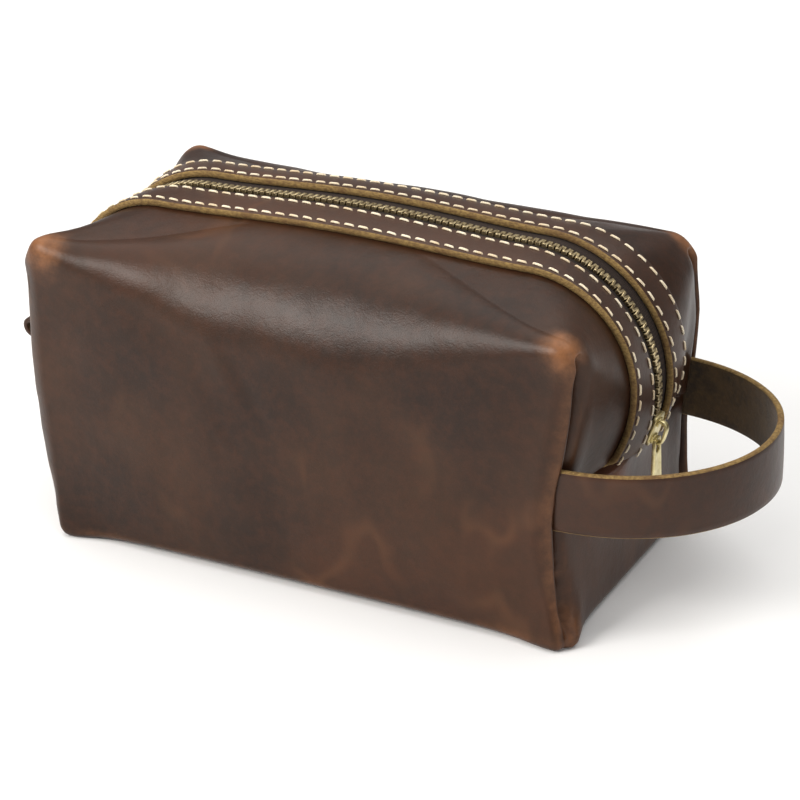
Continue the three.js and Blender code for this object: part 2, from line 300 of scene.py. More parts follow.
# mesh helpers
def newMesh(name, vertices, faces, materials, faceMaterial=None):
    mesh = bpy.data.meshes.new(name)
    mesh.from_pydata([tuple(v) for v in vertices], [], [tuple(f) for f in faces])
    for material in materials:
        mesh.materials.append(material)
    if faceMaterial is not None:
        mesh.polygons.foreach_set("material_index", np.asarray(faceMaterial, np.int32))
    piece = bpy.data.objects.new(name, mesh)
    bpy.context.scene.collection.objects.link(piece)
    mesh.shade_smooth()
    return piece


def pick(piece):
    bpy.ops.object.select_all(action="DESELECT")
    piece.select_set(True)
    bpy.context.view_layer.objects.active = piece


def applyModifier(piece, kind, **settings):
    pick(piece)
    modifier = piece.modifiers.new(kind.lower(), kind)
    for key, value in settings.items():
        setattr(modifier, key, value)
    bpy.ops.object.modifier_apply(modifier=modifier.name)


def softenEdges(piece, width, angle, segments=2):
    applyModifier(piece, "BEVEL", width=width, segments=segments, limit_method="ANGLE",
                  angle_limit=math.radians(angle))


def tidyNormals(piece, merge=0.00001):
    pick(piece)
    bpy.ops.object.mode_set(mode="EDIT")
    bpy.ops.mesh.select_all(action="SELECT")
    bpy.ops.mesh.remove_doubles(threshold=merge)
    bpy.ops.mesh.normals_make_consistent(inside=False)
    bpy.ops.object.mode_set(mode="OBJECT")


def gridFaces(rows, columns, first):
    r, c = np.meshgrid(np.arange(rows - 1), np.arange(columns - 1), indexing="ij")
    a = (first + r * columns + c).ravel()
    return np.stack([a, a + 1, a + columns + 1, a + columns], 1)


def sweep(rings):
    # quads through closed rings, with a cap at both ends
    count = len(rings[0])
    vertices = np.concatenate(rings)
    faces = []
    for r in range(len(rings) - 1):
        for k in range(count):
            n = (k + 1) % count
            faces.append((r * count + k, r * count + n, (r + 1) * count + n, (r + 1) * count + k))
    faces.append(tuple(reversed(range(count))))
    faces.append(tuple(range((len(rings) - 1) * count, len(rings) * count)))
    return vertices, faces


# the bag's surface
bag = {
    "halfDepth": leatherHigh.y, "baseHalfLength": 115.5 * mm,
    "earHalfLength": 118.5 * mm, "earHeight": 127.5 * mm, "earRadius": 7 * mm,
    "zipHalfLength": 128 * mm, "zipHeight": 141.5 * mm, "shoulderRadius": 54 * mm,
    "crown": 3 * mm, "seamHeight": 62 * mm, "seamInset": 6.5 * mm, "seamPinch": 4.5 * mm,
    "mouthEdge": 17 * mm, "leather": 2 * mm,
    "topRound": 38 * mm, "endRound": 7.5 * mm, "baseRound": 3.5 * mm, "footRound": 5 * mm,
    "sideShare": 0.16, "arcShare": 0.5,
    "slitDepth": 56.8 * mm, "slitCut": 7.5 * mm, "slitWidth": 1.15 * mm,
    "panelBulge": 3 * mm,
}
slices = {
    # flat share of the depth, then degrees round to the front panel
    "flat": [0, 0.14, 0.28, 0.42, 0.56, 0.68, 0.78, 0.86, 0.91, 0.94, 0.96, 0.975, 0.9875, 1],
    "turn": [3, 6, 9, 12, 15, 18, 21, 25, 29, 33, 38, 43, 48, 54, 60, 66, 72, 78, 84, 90],
}


def smooth(low, high, value):
    t = np.clip((value - low) / (high - low), 0, 1)
    return t * t * (3 - 2 * t)


def outlineAt(y):
    full = 1 - (y / bag["halfDepth"]) ** 2
    mix = lambda edge, middle: edge + (middle - edge) * full
    radius = bag["earRadius"] + (bag["shoulderRadius"] - bag["earRadius"]) * np.clip(full, 0, 1) ** 1.6
    return (mix(bag["earHalfLength"], bag["zipHalfLength"]), mix(bag["earHeight"], bag["zipHeight"]),
            radius, bag["crown"] * full)


def crownPoint(path, y):
    # the zip-side outline at depth y: path is 1 at the right end seam, 0 at the crown, -1 at the left
    reach, height, radius, rise = outlineAt(y)
    lip = smooth(40 * mm, 54 * mm, np.abs(y))
    inset = bag["seamInset"] * (1 - 0.6 * lip)
    inset = inset + bag["seamPinch"] * smooth(5 * mm, 26 * mm, np.abs(y)) * (1 - lip)
    start = 1 - np.abs(path)
    side = np.clip(start / bag["sideShare"], 0, 1)
    arc = np.clip((start - bag["sideShare"]) / bag["arcShare"], 0, 1) * (math.pi / 2)
    topShare = 1 - bag["sideShare"] - bag["arcShare"]
    top = np.clip((start - bag["sideShare"] - bag["arcShare"]) / topShare, 0, 1)
    x = (reach - radius) * (1 - top) + radius * np.cos(arc) - inset * (1 - side) ** 2
    z = bag["seamHeight"] + (height - radius - bag["seamHeight"]) * side + radius * np.sin(arc)
    z = z + rise * (1 - (1 - top) ** 2) ** 2
    return np.where(path < 0, -x, x), z


def footPoint(share, y):
    # the lower outline at depth y: share 0 at the right end seam, 1 at the middle of the base
    seamX, _ = crownPoint(np.ones_like(share), y)
    panelX, radius = bag["baseHalfLength"] + 1 * mm, bag["footRound"]
    down = np.clip(share / 0.45, 0, 1)
    arc = np.clip((share - 0.45) / 0.2, 0, 1) * (math.pi / 2)
    base = np.clip((share - 0.65) / 0.35, 0, 1)
    z = bag["seamHeight"] + (radius - bag["seamHeight"]) * down ** 1.6
    below = bag["seamHeight"] - z
    x = panelX - (panelX - seamX) * np.exp(-below / (7 * mm)) - radius * (1 - np.cos(arc))
    z = np.where(arc > 0, radius - radius * np.sin(arc), z)
    x = np.where(base > 0, (panelX - radius) * (1 - base), x)
    return x, z


def normalFlat(outline, place, y):
    # outward normal of an outline in its upright plane
    step = 1e-4
    ax, az = outline(place - step, y)
    bx, bz = outline(place + step, y)
    x, z = outline(place, y)
    nx, nz = bz - az, ax - bx
    sign = np.sign(nx * x + nz * (z - bag["seamHeight"]))
    nz = nz * smooth(2 * mm, 26 * mm, np.abs(z - bag["seamHeight"]))     # level at the end seam
    size = np.sqrt(nx ** 2 + nz ** 2) + 1e-12
    return nx * sign / size, nz * sign / size


def lifted(path, y, lift):
    # a point off the zip-side surface, along the true normal
    step = 1e-4
    path = np.clip(path, -1 + 2 * step, 1 - 2 * step)
    ax, az = crownPoint(path - step, y)
    bx, bz = crownPoint(path + step, y)
    cx, cz = crownPoint(path, y - step)
    dx, dz = crownPoint(path, y + step)
    along = np.stack([bx - ax, np.zeros_like(ax), bz - az], -1)
    across = np.stack([dx - cx, np.full_like(cx, 2 * step), dz - cz], -1)
    normal = np.cross(across, along)
    normal /= np.linalg.norm(normal, axis=-1, keepdims=True)
    x, z = crownPoint(path, y)
    point = np.stack([x, y + 0 * x, z], -1)
    away = np.stack([x, 0 * x, z - bag["seamHeight"]], -1)
    normal *= np.sign((normal * away).sum(-1, keepdims=True))
    return point + normal * np.asarray(lift)[..., None], normal


def shellGrid(outline, places, startDepth, rounds):
    # rows follow the outline, columns run from the middle of the bag round to the front panel
    flat = np.array(slices["flat"])[None, :]
    turn = np.radians(np.array(slices["turn"]))[None, :]
    rounds = np.asarray(rounds)[:, None]
    places = np.asarray(places, float)[:, None]
    edge = bag["halfDepth"] - rounds
    yFlat = -(startDepth + (edge - startDepth) * flat)
    placesFlat = places + 0 * yFlat
    xf, zf = outline(placesFlat, yFlat)
    yTurn = -(edge + rounds * np.sin(turn))
    inset = rounds * (1 - np.cos(turn))
    placesTurn = places + 0 * yTurn
    xt, zt = outline(placesTurn, -edge + 0 * yTurn)
    nx, nz = normalFlat(outline, placesTurn, -edge + 0 * yTurn)
    return np.concatenate([np.stack([xf, yFlat, zf], -1),
                           np.stack([xt - nx * inset, yTurn, zt - nz * inset], -1)], 1)


# the leather body, in a front and a back half
def shareAlong(line):
    run = np.concatenate([[0], np.cumsum(np.linalg.norm(np.diff(line, axis=0), axis=1))])
    return run / run[-1]


def patch(top, bottom, left, right):
    # a four-sided panel filled in from its edges
    u = (shareAlong(top) + shareAlong(bottom))[None, :, None] / 2
    v = (shareAlong(left) + shareAlong(right))[:, None, None] / 2
    ruled = top[None] * (1 - v) + bottom[None] * v
    sides = left[:, None] * (1 - u) + right[:, None] * u
    fromCorners = top[0] * (1 - u) * (1 - v) + top[-1] * u * (1 - v)
    fromCorners = fromCorners + bottom[0] * (1 - u) * v + bottom[-1] * u * v
    return ruled + sides - fromCorners


def leatherGrid():
    side, arc = bag["sideShare"], bag["arcShare"]
    right = np.concatenate([1 - side * np.linspace(0, 1, 19) ** 1.5,
                            np.linspace(1 - side, 1 - side - arc, 33)[1:],
                            np.linspace(1 - side - arc, 0, 41)[1:]])
    path = np.concatenate([right, -right[-2::-1]])
    over = np.abs(crownPoint(path, np.full_like(path, -0.9 * bag["halfDepth"]))[0])
    ear = smooth(4 * mm, 76 * mm, bag["earHalfLength"] - over) * (1 - np.abs(path) > side + arc)
    rounds = bag["endRound"] + (bag["topRound"] - bag["endRound"]) * ear
    top = shellGrid(crownPoint, path, bag["mouthEdge"], rounds)
    shares = np.concatenate([np.linspace(0, 0.45, 26), np.linspace(0.45, 0.65, 9)[1:],
                             np.linspace(0.65, 1, 53)[1:]])
    lowRounds = bag["endRound"] + (bag["baseRound"] - bag["endRound"]) * smooth(0.18, 0.42, shares)
    lower = shellGrid(footPoint, shares, bag["mouthEdge"], lowRounds)
    depths = np.linspace(0, bag["mouthEdge"], 7)[:-1]
    middle = []
    for depth in depths:
        x, z = footPoint(shares, np.full_like(shares, -depth))
        middle.append(np.stack([x, np.full_like(x, -depth), z], -1))
    lower = np.concatenate([np.stack(middle, 1), lower], 1)
    lower = np.concatenate([lower, lower[-2::-1] * np.array([-1, 1, 1])], 0)
    return top, lower


def leatherSurface():
    top, lower = leatherGrid()
    edge, hem = top[:, -1], lower[:, -1]
    rows, hemRows = len(edge), len(hem)
    ear, foot = 18 + 16, 25 + 4          # rows from the end seam to the middle of each corner
    right = np.concatenate([edge[ear:0:-1], hem[:foot + 1]])
    left = np.concatenate([edge[rows - 1 - ear:rows - 1], hem[hemRows - 1 - foot:][::-1]])
    upper = edge[ear:rows - ear][::-1]
    below = hem[foot:hemRows - foot][::-1]
    panel = patch(upper, below, left, right)
    grids = [top, lower, panel]
    first, faces = 0, []
    for grid in grids:
        faces.append(gridFaces(grid.shape[0], grid.shape[1], first))
        first += grid.shape[0] * grid.shape[1]
    return np.concatenate([grid.reshape(-1, 3) for grid in grids]), np.concatenate(faces)


corners = {
    # middle and spread in mm of a foot and an ear
    "foot": ((113, 58, 0), (13, 11, 13)), "ear": ((114, 60, 130), (14, 11, 14)),
    # in mm outwards: each upright edge at these heights, then the pull on its foot and on its ear as x, y, z
    "heights": [0, 16, 30, 46, 66, 98, 127], "frontRightLip": [-4, -4.5, -4, -2.4, -2, -2, 0],
    "frontLeft": {"edge": [0, 3, 6, 8.5, 9, 7, 4.5], "foot": (0, 5, 0), "ear": (2, 2, 3.5)},
    "frontRight": {"edge": [0, -0.5, -2.7, -5, -6, -2, 0], "foot": (5.5, 3.4, 0), "ear": (2, 1.6, 1.2)},
    "backLeft": {"edge": [0, 1, 2, 3, 4, 4, 3], "foot": (1, 2, 0), "ear": (1.5, 1.5, 2.5)},
    "backRight": {"edge": [0, 0, 0, 0, 0, 0.5, -2], "foot": (2, 2, 0), "ear": (0, 1, -0.8)},
}


def near(points, middle, spread):
    # 1 at a place in mm and at its mirror images, falling away over the spread
    steps = (np.abs(points) - np.array(middle) * mm) / (np.array(spread) * mm)
    return np.exp(-(steps ** 2).sum(1))


def carve(points, half):
    # the corner slits behind the front panel, the pulled-out ears and the end seam's valley
    x, y, z = points.T
    sign = np.sign(x)
    end = smooth(96 * mm, 106 * mm, np.abs(x))
    fall = smooth(5 * mm, 12 * mm, z) * (1 - smooth(119 * mm, 126 * mm, z))
    away = np.abs(y) - bag["slitDepth"]
    # wider round the loop's ends, below the ears and just over the feet
    atLoop = np.exp(-((z - 63 * mm) / (16 * mm)) ** 4)
    overFoot = np.exp(-((z - 14 * mm) / (9 * mm)) ** 2)
    width = bag["slitWidth"] * (1 + 0.5 * atLoop) * (1 + 0.9 * smooth(96 * mm, 116 * mm, z)) * (1 + 1.2 * overFoot)
    cut = -bag["slitCut"] * (1 + 0.3 * smooth(94 * mm, 116 * mm, z)) * np.exp(-(away / width) ** 2)
    lips = 0.8 * mm * np.exp(-((away + 6 * mm) / (4 * mm)) ** 2)
    lips = lips + 1.7 * mm * np.exp(-((away - 3.5 * mm) / (2.5 * mm)) ** 2)
    valley = np.exp(-((z - bag["seamHeight"] + 1.2 * mm) / (1.5 * mm)) ** 2)
    valley = valley * smooth(4 * mm, 20 * mm, np.abs(y)) * (1 - smooth(48 * mm, 56 * mm, np.abs(y)))
    shift = np.zeros_like(points)
    shift[:, 0] = sign * end * (fall * (cut + lips) - 3 * mm * valley)
    # the front and back panels belly out
    belly = np.clip(1 - (x / (110 * mm)) ** 4, 0, 1) ** 2
    belly = belly * np.clip(1 - ((z - 60 * mm) / (66 * mm)) ** 4, 0, 1) ** 2
    shift[:, 1] += np.sign(y) * bag["panelBulge"] * belly * smooth(38 * mm, 64 * mm, np.abs(y))
    # each corner's own ear, foot and upright edge
    left, right = corners[half + "Left"], corners[half + "Right"]
    byEnd = lambda first, second: np.where(x > 0, second, first) * mm
    edge = byEnd(*(np.interp(z / mm, corners["heights"], corner["edge"]) for corner in (left, right)))
    shift[:, 0] += sign * edge * smooth(36 * mm, 56 * mm, np.abs(y)) * smooth(55 * mm, 112 * mm, np.abs(x))
    for tip in ("foot", "ear"):
        share = near(points, *corners[tip])
        for axis, way in enumerate((sign, np.sign(y), 1)):
            shift[:, axis] += share * way * byEnd(left[tip][axis], right[tip][axis])
    if half == "front":
        lip = np.interp(z / mm, corners["heights"], corners["frontRightLip"]) * mm * (x > 0)
        shift[:, 0] += lip * smooth(55.8 * mm, 58.8 * mm, np.abs(y)) * smooth(70 * mm, 112 * mm, np.abs(x))
    # the base stands on its corners: its long edges bow up a little
    bow = np.clip(1 - (x / (106 * mm)) ** 4, 0, 1) * np.exp(-(z / (14 * mm)) ** 2)
    shift[:, 2] += 2 * mm * bow * smooth(50 * mm, 64 * mm, np.abs(y))
    return points + shift


def readVertices(mesh, what):
    values = np.empty(len(mesh.vertices) * 3)
    mesh.vertices.foreach_get(what, values)
    return values.reshape(-1, 3)


def leatherHalf(name, side, finishes):
    vertices, faces = leatherSurface()
    vertices = carve(vertices, "front" if side < 0 else "back")
    vertices[:, 1] *= -side
    if side > 0:
        faces = faces[:, ::-1]
    piece = newMesh(name, vertices, faces, finishes)
    tidyNormals(piece)
    mesh = piece.data
    points, normals = readVertices(mesh, "co"), readVertices(mesh, "normal")
    outwards = points - np.array([0, 0, 0.07])
    if (normals * outwards).sum() < 0:
        mesh.flip_normals()
        normals = -normals
    # soft waves and folds in mm along the normal, calm near the zip and the base
    height = np.zeros(len(points))
    for k, p in enumerate(points):
        place = Vector(p)
        height[k] = (noise.noise(place * 26 + Vector((3 * side, 1, 0))) * 0.9
                     + noise.noise(place * 60 + Vector((0, 7 * side, 2))) * 0.35)
    x, y, z = points.T
    calm = smooth(20 * mm, 42 * mm, np.abs(y)) * smooth(0, 25 * mm, z)
    for fx, fz, angle, length, width, depth in folds["front" if side < 0 else "back"]:
        c, s = math.cos(math.radians(angle)), math.sin(math.radians(angle))
        u = (x - fx * mm) * c + (z - fz * mm) * s
        v = -(x - fx * mm) * s + (z - fz * mm) * c
        height += depth * np.exp(-(u / (length * mm)) ** 2 - (v / (width * mm)) ** 2)
    moved = points + normals * (height * calm * mm)[:, None]
    mesh.vertices.foreach_set("co", moved.ravel())
    # the rolled lips by the corner slits: partly rubbed wear, partly a painted highlight, painted stronger on the
    # right end
    rolled = smooth(0.02, 0.7, np.abs(normals[:, 0])) * smooth(0.05, 0.5, np.abs(normals[:, 1]))
    lip = rolled * smooth(98 * mm, 106 * mm, np.abs(x)) * smooth(50 * mm, 57 * mm, np.abs(y))
    hem = np.exp(-((z - 3 * mm) / (4 * mm)) ** 2) * smooth(56 * mm, 62 * mm, np.abs(y))
    rubAndSheen = np.maximum(near(points, *wear["ear"]), lip * np.where(x > 0, wear["lipRubAndSheenRight"], wear["lipRubAndSheenLeft"]))
    rubAndSheen = np.maximum(rubAndSheen, wear["footRub"] * near(points, *wear["foot"]))
    rubAndSheen = np.maximum(rubAndSheen, wear["hemRub"] * hem)
    warm = np.exp(-((z - 49 * mm) / (9 * mm)) ** 2 - ((y + 20 * mm) / (14 * mm)) ** 2)
    warm = warm * smooth(100 * mm, 108 * mm, x)          # a patch on the right end, under the pull
    for layerName, values in {"rubAndSheen": rubAndSheen, "warm": warm}.items():
        layer = mesh.attributes.new(layerName, "FLOAT", "POINT")
        layer.data.foreach_set("value", values)
    mesh.update()
    applyModifier(piece, "SOLIDIFY", thickness=bag["leather"], offset=-1, use_quality_normals=True,
                  material_offset=1, material_offset_rim=2)
    piece.data.shade_smooth()
    piece.data.set_sharp_from_angle(angle=math.radians(70))
    return piece


wear = {
    # where the wax is rubbed off, with a painted highlight on the rolled lips as well: middle and spread in mm of
    # an ear and a foot, then how strongly
    "ear": ((116, 60, 129), (11, 9, 13)), "foot": ((116, 57, 0), (8, 8, 22)),
    "footRub": 0.75, "hemRub": 0.4, "lipRubAndSheenRight": 0.5, "lipRubAndSheenLeft": 0.3,
}
folds = {
    # x, z of the middle in mm, slope in degrees, half length, half width, height in mm
    "front": [(-30, 92, -55, 16, 5, 0.7), (-22, 88, -60, 16, 4, -0.7), (12, 100, -20, 26, 9, 0.8),
              (-70, 60, 20, 30, 12, 0.7), (60, 70, -30, 30, 14, -0.8), (85, 95, 60, 22, 10, 0.7),
              (20, 40, 10, 40, 12, 0.6), (-60, 105, -10, 25, 8, -0.5), (-40, 84, -58, 10, 1.6, -0.4),
              (-31, 66, -50, 9, 1.5, -0.35), (-36, 60, -62, 7, 1.4, -0.3), (34, 88, 35, 10, 1.6, -0.3)],
    "back": [(30, 90, 50, 18, 6, 0.7), (-40, 60, -25, 30, 12, 0.8), (70, 50, 20, 30, 12, -0.6),
             (-80, 95, 40, 20, 9, 0.7)],
}


# what lies along the zip: strips, tapes, teeth, stitches and stops
def ribbon(name, path, profile, finishes, ringMaterial, side, tuck=0.0):
    rings = []
    for step in path:
        y = side * profile[:, 0]
        sunk = tuck * smooth(0.972, 1.0, abs(step))
        point, _ = lifted(np.full(len(profile), step), y, profile[:, 1] - sunk)
        rings.append(point)
    vertices, faces = sweep(rings)
    count = len(profile)
    materials = [ringMaterial[k % count] for k in range((len(path) - 1) * count)]
    materials += [len(finishes) - 1] * 2          # the cut ends
    piece = newMesh(name, vertices, faces, finishes, materials)
    tidyNormals(piece)
    return piece


def pathLength(y, start, stop, samples=3000):
    steps = np.linspace(start, stop, samples)
    x, z = crownPoint(steps, np.full_like(steps, y))
    run = np.concatenate([[0], np.cumsum(np.hypot(np.diff(x), np.diff(z)))])
    return steps, run


def pathPlaces(y, start, stop, pitch, offset=0.0):
    steps, run = pathLength(y, start, stop)
    return np.interp(np.arange(offset, run[-1], pitch), run, steps)


strip = {
    "inner": 9 * mm, "outer": 24.6 * mm, "low": 0.3 * mm, "high": 3.0 * mm, "round": 0.45 * mm, "crown": 0.35 * mm,
    "ends": 0.999, "steps": 260, "tuck": 3.2 * mm,
}


def zipStrip(name, side, finishes):
    inner, outer, low, high = strip["inner"], strip["outer"], strip["low"], strip["high"]
    r = strip["round"]
    profile = [(inner, low), (inner - 0.1 * mm, (low + high) / 2), (inner, high - r), (inner + r, high)]
    profile += [(inner + r + t * (outer - inner - 2 * r), high + strip["crown"] * math.sin(math.pi * t))
                for t in (0.06, 0.14, 0.24, 0.4, 0.6, 0.76, 0.86, 0.94)]
    profile += [(outer - r, high), (outer, high - r), (outer + 0.1 * mm, (low + high) / 2), (outer, low)]
    material = [2, 2, 2] + [0] * 9 + [2, 2, 2] + [1]          # raw edge, grain, raw edge, underside
    path = np.linspace(strip["ends"], -strip["ends"], strip["steps"])
    return ribbon(name, path, np.array(profile), finishes, material, side, strip["tuck"])


tape = {
    "inner": 1.5 * mm, "outer": 16.2 * mm, "low": -0.9 * mm, "high": -0.2 * mm, "ends": 0.985, "steps": 220,
}


def zipTape(name, side, finish):
    inner, outer, low, high = tape["inner"], tape["outer"], tape["low"], tape["high"]
    profile = [(inner, low), (inner, high), ((inner + outer) / 2, high), (outer, high), (outer, low)]
    path = np.linspace(tape["ends"], -tape["ends"], tape["steps"])
    return ribbon(name, path, np.array(profile), [finish], [0] * 5, side)


teeth = {
    "pitch": 2.9 * mm, "from": 0.953, "to": -0.955, "tip": 1.9 * mm, "root": 4.3 * mm,
    "low": -1.7 * mm, "high": 1.5 * mm, "long": 1.3 * mm, "lean": 0.16, "rootShare": 0.62,
}


def toothShape():
    # one tooth about the origin: x along the zip, y across it towards the other side, z off it
    bpy.ops.object.select_all(action="DESELECT")
    reach = teeth["tip"] + teeth["root"]
    bpy.ops.mesh.primitive_cube_add(size=1, location=(0, 0, 0))
    tooth = bpy.context.object
    tooth.scale = (teeth["long"], reach * teeth["rootShare"], teeth["high"] - teeth["low"])
    bpy.ops.object.transform_apply(location=False, rotation=False, scale=True)
    bpy.ops.object.mode_set(mode="EDIT")
    edit = bmesh.from_edit_mesh(tooth.data)
    for face in edit.faces:
        face.select_set(face.normal.y > 0.9)
    bmesh.update_edit_mesh(tooth.data)
    bpy.ops.mesh.extrude_region_move(TRANSFORM_OT_translate={"value": (0, reach * (1 - teeth["rootShare"]), 0)})
    bpy.ops.transform.resize(value=(0.95, 1, 0.8))
    bpy.ops.object.mode_set(mode="OBJECT")
    softenEdges(tooth, 0.3 * mm, 40, 1)
    shape = np.array([v.co[:] for v in tooth.data.vertices])
    faces = [tuple(p.vertices) for p in tooth.data.polygons]
    shape[:, 1] -= shape[:, 1].max()          # the tip at zero
    shape[:, 0] -= teeth["lean"] * shape[:, 1]
    bpy.data.objects.remove(tooth)
    return shape, faces


def placed(shape, places, y, lift, turns):
    # copies of a small shape set along the zip line, each in its own place
    copies = []
    for place, turn in zip(places, turns):
        point, normal = lifted(np.array([place]), np.array([y]), np.array([lift]))
        ahead, _ = lifted(np.array([place - 1e-3]), np.array([y]), np.array([lift]))
        along = ahead[0] - point[0]
        along /= np.linalg.norm(along)
        up = normal[0]
        across = np.cross(up, along)
        along = np.cross(across, up)
        c, s = math.cos(turn), math.sin(turn)
        u, v = along * c + across * s, across * c - along * s
        copies.append(point[0] + shape[:, :1] * u + shape[:, 1:2] * v + shape[:, 2:] * up)
    return copies


def manyFaces(faces, count, times):
    return [tuple(k * count + i for i in face) for k in range(times) for face in faces]


def zipTeeth(name, side, finish):
    shape, faces = toothShape()
    shape = shape + np.array([0, teeth["tip"], (teeth["low"] + teeth["high"]) / 2])
    half = 0 if side < 0 else teeth["pitch"] / 2          # the two rows lie half a pitch apart
    places = pathPlaces(0, teeth["from"], teeth["to"], teeth["pitch"], half)
    copies = []
    for place in places:
        point, normal = lifted(np.array([place]), np.array([0.0]), np.array([0.0]))
        along = np.array([normal[0][2], 0, -normal[0][0]])
        across = np.array([0, -side, 0])
        copies.append(point[0] + shape[:, :1] * along + shape[:, 1:2] * across + shape[:, 2:] * normal[0])
    piece = newMesh(name, np.concatenate(copies), manyFaces(faces, len(shape), len(places)), [finish])
    tidyNormals(piece, 1e-7)
    piece.data.set_sharp_from_angle(angle=math.radians(35))
    return piece


stitch = {
    "pitch": 6.3 * mm, "long": 5.0 * mm, "thick": 0.5 * mm, "sunk": 0.3 * mm, "slant": 5, "from": 0.972,
    "rows": {"inner": 11.3 * mm, "outer": 22.3 * mm},
}


def stitchShape():
    rings = []
    half = stitch["long"] / 2
    for t in np.linspace(-1, 1, 9):
        swell = math.sqrt(max(1 - abs(t) ** 5, 0.02))
        rise = stitch["thick"] * 0.7 - (stitch["sunk"] + stitch["thick"]) * abs(t) ** 7
        angles = np.linspace(0, 2 * math.pi, 8, endpoint=False)
        rings.append(np.stack([np.full(8, t * half), stitch["thick"] * swell * np.cos(angles),
                               rise + stitch["thick"] * 0.85 * swell * np.sin(angles)], 1))
    return sweep(rings)


def stitchRow(name, side, y, finish, seed):
    shape, faces = stitchShape()
    places = pathPlaces(side * y, stitch["from"], -stitch["from"], stitch["pitch"])
    rand = np.random.default_rng(seed)
    turns = np.radians(stitch["slant"] * side + rand.normal(0, 1.6, len(places)))
    t = (y - strip["inner"]) / (strip["outer"] - strip["inner"])
    lift = strip["high"] + strip["crown"] * math.sin(math.pi * t)
    copies = placed(shape, places, side * y, lift, turns)
    copies = [copy + (copy - copy.mean(0)) * rand.normal(0, 0.03) for copy in copies]
    piece = newMesh(name, np.concatenate(copies), manyFaces(faces, len(shape), len(places)), [finish])
    tidyNormals(piece, 1e-7)
    return piece


# the slider, in its own place on the zip line
slider = {
    "angle": -18, "radius": 53.5 * mm, "centre": (74 * mm, 87.5 * mm),
    # half outlines in mm: along the zip, across it
    "plan": [(-6.3, 2), (-5.6, 3.4), (-3.2, 5.4), (-1.4, 5.7), (3.6, 5.3), (6.4, 4.7), (7.3, 3.6)],
    "post": [(-5.7, 0.3), (-4, 1.3), (-2.4, 0.3)], "boss": [(-4.9, 2.1), (-1.6, 2.1)],
    "foot": [(2.8, 2), (5.8, 1.8)], "flange": [(-3.6, 0.5), (4.6, 0.5)],
    # name of the plate: outline, low and high in mm off the zip line
    "plates": {"plateTop": ("plan", 1.7, 3.1), "plateBottom": ("plan", -2.9, -1.7), "post": ("post", -1.9, 1.9),
               "boss": ("boss", 3.0, 3.9), "foot": ("foot", 3.0, 3.8)},
    "flangeLow": 0.6, "flangeHigh": 1.9, "flangeOut": 4.95 * mm, "flangeTurn": 3,
}


def bentToZip(piece):
    # x along the zip upwards, y across, z off it
    for vertex in piece.data.vertices:
        along, across, off = vertex.co
        angle = math.radians(slider["angle"]) + along / slider["radius"]
        radius = slider["radius"] + off
        x, z = slider["centre"]
        vertex.co = (x + radius * math.cos(angle), across, z + radius * math.sin(angle))


def plateOutline(name, outline, low, high):
    # a flat plate from half of its outline, the other half mirrored over the zip line
    ring = list(outline) + [(x, -y) for x, y in reversed(outline)]
    bpy.ops.mesh.primitive_circle_add(vertices=len(ring), radius=1, fill_type="NGON")
    plate = bpy.context.object
    plate.name = plate.data.name = name
    for vertex, (x, y) in zip(plate.data.vertices, ring):
        vertex.co = (x * mm, y * mm, low * mm)
    bpy.ops.object.mode_set(mode="EDIT")
    bpy.ops.mesh.select_all(action="SELECT")
    bpy.ops.mesh.extrude_region_move(TRANSFORM_OT_translate={"value": (0, 0, (high - low) * mm)})
    bpy.ops.mesh.select_all(action="SELECT")
    bpy.ops.mesh.normals_make_consistent(inside=False)
    bpy.ops.object.mode_set(mode="OBJECT")
    return plate


def joinInto(name, parts):
    pick(parts[0])
    for part in parts[1:]:
        part.select_set(True)
    bpy.ops.object.join()
    piece = bpy.context.object
    piece.name = piece.data.name = name
    return piece


def sliderBody(finish):
    parts = [plateOutline(name, slider[shape], low, high) for name, (shape, low, high) in slider["plates"].items()]
    for side in (-1, 1):
        flange = plateOutline("flange", slider["flange"], slider["flangeLow"], slider["flangeHigh"])
        turn = Matrix.Rotation(side * math.radians(-slider["flangeTurn"]), 4, "Z")
        flange.data.transform(Matrix.Translation((0, side * slider["flangeOut"], 0)) @ turn)
        parts.append(flange)
    for part in parts:
        softenEdges(part, 0.25 * mm, 30)
    piece = joinInto("sliderBody", parts)
    bentToZip(piece)
    piece.data.materials.append(finish)
    piece.data.shade_smooth()
    piece.data.set_sharp_from_angle(angle=math.radians(40))
    return piece


bridge = {
    # in mm: along the zip, off it
    "line": [(-4.2, 3.1), (-4.2, 5.2), (-3.8, 6.2), (-2.6, 6.9), (0.2, 7.0), (2.8, 6.8), (4.1, 6.0), (4.6, 4.8),
             (4.6, 3.1)],
    "halfWide": 1.4, "taper": 0.2, "halfThick": 0.68 * mm, "square": 0.55,
}


def sliderBridge(finish):
    # a bent bar of rounded-square section, a little wider in the middle
    points = smoothLine(np.array([(x * mm, 0, z * mm) for x, z in bridge["line"]]), 28)
    angles = np.linspace(0, 2 * math.pi, 16, endpoint=False)
    c, s = (np.sign(v) * np.abs(v) ** bridge["square"] for v in (np.cos(angles), np.sin(angles)))
    rings = []
    for k, p in enumerate(points):
        before, after = points[max(k - 1, 0)], points[min(k + 1, len(points) - 1)]
        along = (after - before) / np.linalg.norm(after - before)
        out = np.cross(along, np.array([0, 1, 0]))
        wide = (bridge["halfWide"] - bridge["taper"] * abs(k / (len(points) - 1) * 2 - 1)) * mm
        rings.append(p + np.outer(c * wide, (0, 1, 0)) + np.outer(s * bridge["halfThick"], out))
    vertices, faces = sweep(rings)
    piece = newMesh("sliderBridge", vertices, faces, [finish])
    tidyNormals(piece)
    bentToZip(piece)
    piece.data.set_sharp_from_angle(angle=math.radians(50))
    return piece


